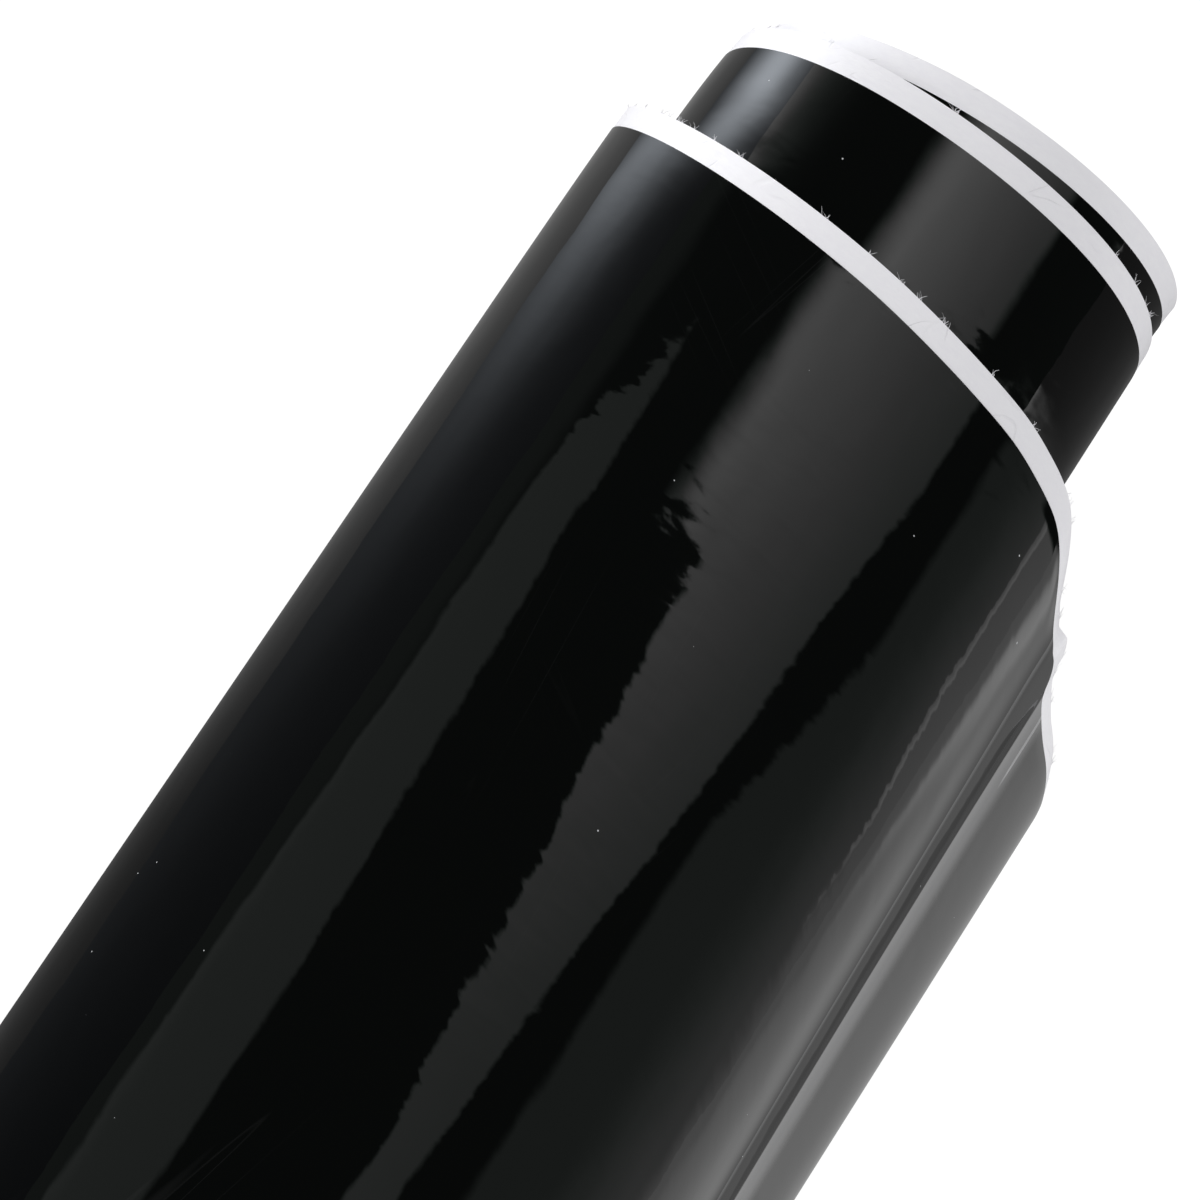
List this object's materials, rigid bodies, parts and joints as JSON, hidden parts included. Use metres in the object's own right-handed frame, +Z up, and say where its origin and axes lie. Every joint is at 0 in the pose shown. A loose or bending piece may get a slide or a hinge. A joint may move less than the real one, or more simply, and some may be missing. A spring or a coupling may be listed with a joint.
{
  "type": "roll of sign vinyl",
  "caption": "Loosely wound roll of gloss black sign vinyl on a white paper release liner around a cardboard core, its outer turns sprung open and telescoped.",
  "frame": {"origin": "centre of the core's bore at the middle of the core's length", "axes": "+X along the core towards its clean wound end, +Z up from the flat stretch the roll rests on, +Y to the side where the outer wrap rises from the table"},
  "size_m": [0.4037, 0.1408, 0.118],
  "materials": {
    "film": "high gloss black vinyl",
    "adhesive": "clear pressure-sensitive adhesive over the grey back of the film",
    "liner_paper": "white silicone-coated release paper",
    "core_board": "spiral-wound brown board",
    "tape": "double-sided tape"
  },
  "bodies": {
    "coil": {"core_tube": "core_board", "starter_tape": "tape", "coil_liner": "liner_paper", "coil_adhesive": "adhesive", "coil_film": "film"},
    "loose_turn": {"loose_turn_liner": "liner_paper", "loose_turn_adhesive": "adhesive", "loose_turn_film": "film"},
    "outer_wrap": {"outer_wrap_liner": "liner_paper", "outer_wrap_adhesive": "adhesive", "outer_wrap_film": "film"},
    "free_end": {"free_end_liner": "liner_paper", "free_end_adhesive": "adhesive", "free_end_film": "film"},
    "peeled_edge": {"peeled_edge_adhesive": "adhesive", "peeled_edge_film": "film"}
  },
  "joints": [
    {"name": "loose_turn_slide", "type": "slide", "parent": "coil", "child": "loose_turn", "axis": [1, 0, 0], "range_m": [-0.002, 0.0074]},
    {"name": "outer_wrap_slide", "type": "slide", "parent": "loose_turn", "child": "outer_wrap", "axis": [1, 0, 0], "range_m": [-0.01, 0.037]},
    {"name": "free_end_lift", "type": "hinge", "parent": "outer_wrap", "child": "free_end", "pos_m": [-0.06, -0.03793, 0.06022], "axis": [-1, 0, 0], "range_deg": [0, 75]},
    {"name": "film_peel", "type": "hinge", "parent": "free_end", "child": "peeled_edge", "pos_m": [-0.09, -0.0763, -0.02778], "axis": [-1, 0, 0], "range_deg": [0, 110], "stiffness_Nm_per_rad": 0.002}
  ],
  "couplings": [
    {"joint": "outer_wrap_slide", "follows": "loose_turn_slide", "ratio": 5}
  ]
}
